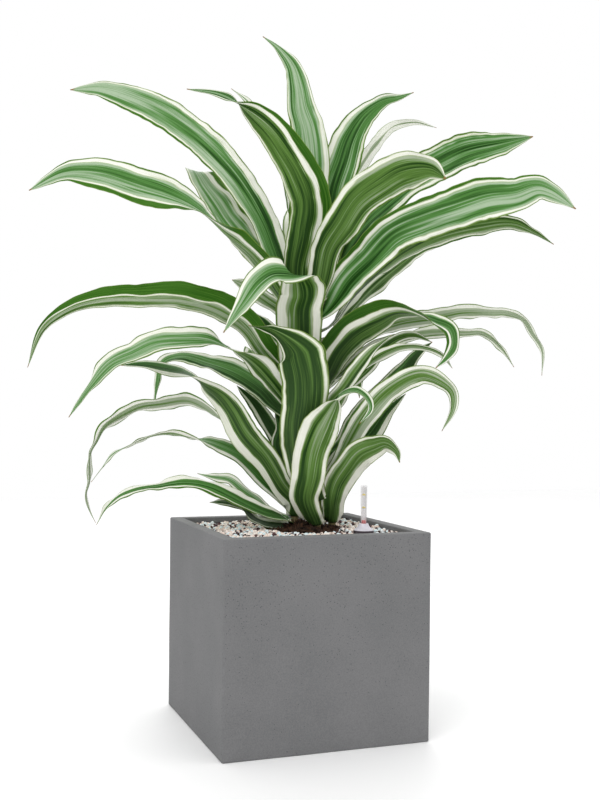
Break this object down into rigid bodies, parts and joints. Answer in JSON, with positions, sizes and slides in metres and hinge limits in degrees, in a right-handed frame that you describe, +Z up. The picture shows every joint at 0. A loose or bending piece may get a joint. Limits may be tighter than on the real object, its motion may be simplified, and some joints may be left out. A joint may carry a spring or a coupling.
{
  "type": "potted dracaena",
  "caption": "Variegated dracaena with arching white-striped leaves on short canes, planted in a square concrete-grey cube planter topped with mineral granulate and a water gauge.",
  "frame": {"origin": "middle of the planter's underside", "axes": "+Z up along the plant; +X and +Y square to the planter's sides, with the water gauge at +X, -Y"},
  "size_m": [0.7984, 0.5172, 1.0309],
  "materials": {
    "planter": "matt cast fibre concrete, mid grey, with fine pinholes and softly rounded edges",
    "granulate": "loose mineral grains, cream, pale bluish white and brown, dry and matt",
    "soil": "dark, crumbly potting soil with bark fibres",
    "gauge_clear": "clear plastic with yellow level marks",
    "gauge_red": "red plastic needle",
    "gauge_collar": "translucent lilac-grey plastic with a dark plum foot",
    "cane": "thin ringed bark, olive brown",
    "leaf": "satin leaf with green and cream-white stripes along its length, paler underside"
  },
  "bodies": {
    "root": {"cube_planter": "planter", "mineral_granulate": "granulate", "soil_root_ball": "soil", "gauge_tube": "gauge_clear", "gauge_needle": "gauge_red", "gauge_collar": "gauge_collar", "cane_main": "cane", "cane_left": "cane", "cane_front": "cane", "cane_right": "cane", "crown_leaf_01": "leaf", "crown_leaf_02": "leaf", "crown_leaf_03": "leaf", "crown_leaf_04": "leaf", "crown_leaf_05": "leaf", "crown_leaf_06": "leaf", "crown_leaf_07": "leaf", "crown_leaf_08": "leaf", "crown_leaf_09": "leaf", "crown_leaf_10": "leaf", "crown_leaf_11": "leaf", "crown_leaf_12": "leaf", "crown_leaf_13": "leaf", "crown_leaf_14": "leaf", "crown_leaf_15": "leaf", "mid_leaf_01": "leaf", "mid_leaf_02": "leaf", "mid_leaf_03": "leaf", "mid_leaf_04": "leaf", "mid_leaf_05": "leaf", "mid_leaf_06": "leaf", "mid_leaf_07": "leaf", "mid_leaf_08": "leaf", "mid_leaf_09": "leaf", "mid_leaf_10": "leaf", "mid_leaf_11": "leaf", "mid_leaf_12": "leaf", "mid_leaf_13": "leaf", "mid_leaf_14": "leaf", "mid_leaf_15": "leaf", "low_leaf_01": "leaf", "low_leaf_02": "leaf", "low_leaf_03": "leaf", "low_leaf_04": "leaf", "low_leaf_05": "leaf", "low_leaf_06": "leaf", "low_leaf_07": "leaf", "low_leaf_08": "leaf", "low_leaf_09": "leaf", "low_leaf_10": "leaf", "back_leaf_01": "leaf", "back_leaf_02": "leaf", "back_leaf_03": "leaf", "back_leaf_04": "leaf", "back_leaf_05": "leaf", "back_leaf_06": "leaf", "back_leaf_07": "leaf", "back_leaf_08": "leaf", "back_leaf_09": "leaf"}
  },
  "joints": []
}
